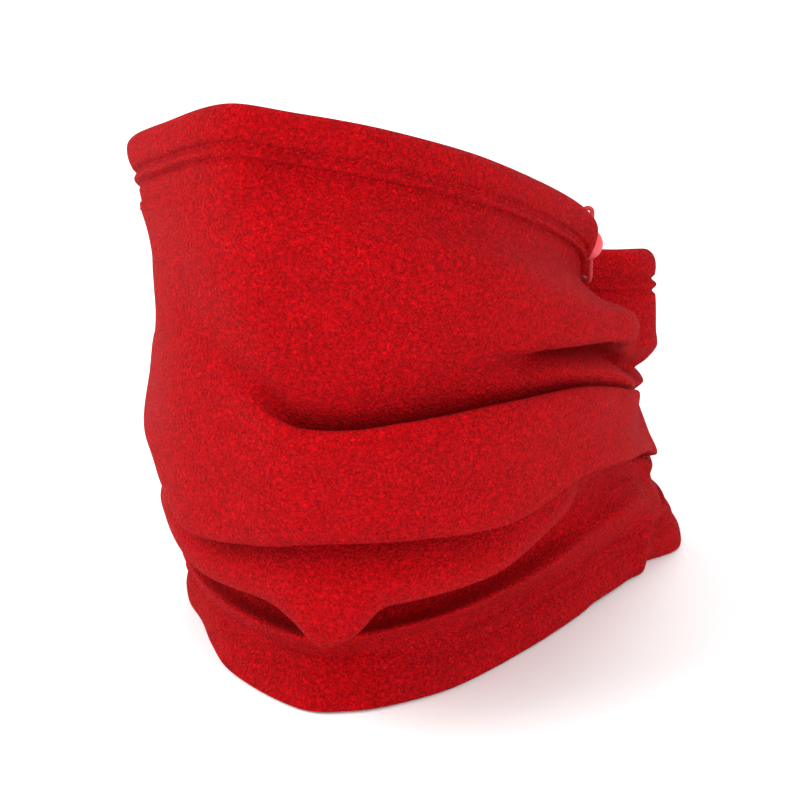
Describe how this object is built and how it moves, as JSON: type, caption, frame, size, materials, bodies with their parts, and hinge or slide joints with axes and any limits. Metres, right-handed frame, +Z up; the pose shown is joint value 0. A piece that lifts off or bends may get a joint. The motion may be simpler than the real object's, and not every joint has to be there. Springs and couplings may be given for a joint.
{
  "type": "neck gaiter",
  "caption": "Fleece tube worn round the neck and lower face, with stitched hems and a drawcord drawn in at the back by a ball-shaped lock.",
  "frame": {"origin": "on the ground, under the middle of the object's box", "axes": "+Z up, the wearer's face towards -Y, +X towards the wearer's left"},
  "size_m": [0.1525, 0.216, 0.1969],
  "materials": {
    "fleece": "brushed fleece",
    "thread": "spun polyester thread",
    "label": "woven satin tape",
    "cord": "braided elastic cord",
    "eyelet_metal": "enamelled",
    "lock_plastic": "satin",
    "spring_steel": "drawn wire"
  },
  "bodies": {
    "gaiter": {"fleece_upper": "fleece", "fleece_lower": "fleece", "top_hem": "fleece", "bottom_hem": "fleece", "top_stitch_upper": "thread", "top_stitch_lower": "thread", "bottom_stitch_upper": "thread", "bottom_stitch_lower": "thread", "back_seam": "fleece", "care_label": "label", "drawcord": "cord", "eyelet_front": "eyelet_metal", "eyelet_rear": "eyelet_metal", "eyelet_washer_front": "eyelet_metal", "eyelet_washer_rear": "eyelet_metal"},
    "lock": {"lock_shell": "lock_plastic", "lock_spring": "spring_steel"},
    "plunger": {"lock_plunger": "lock_plastic"}
  },
  "joints": [
    {"name": "lock_slide", "type": "slide", "parent": "gaiter", "child": "lock", "axis": [0, 0, 1], "range_m": [0, 0.004]},
    {"name": "button_press", "type": "slide", "parent": "lock", "child": "plunger", "axis": [0.5592, -0.829, 0], "range_m": [0, 0.0018], "stiffness_N_per_m": 400, "springref_m": -0.0015, "deforming": ["lock_spring"]}
  ]
}
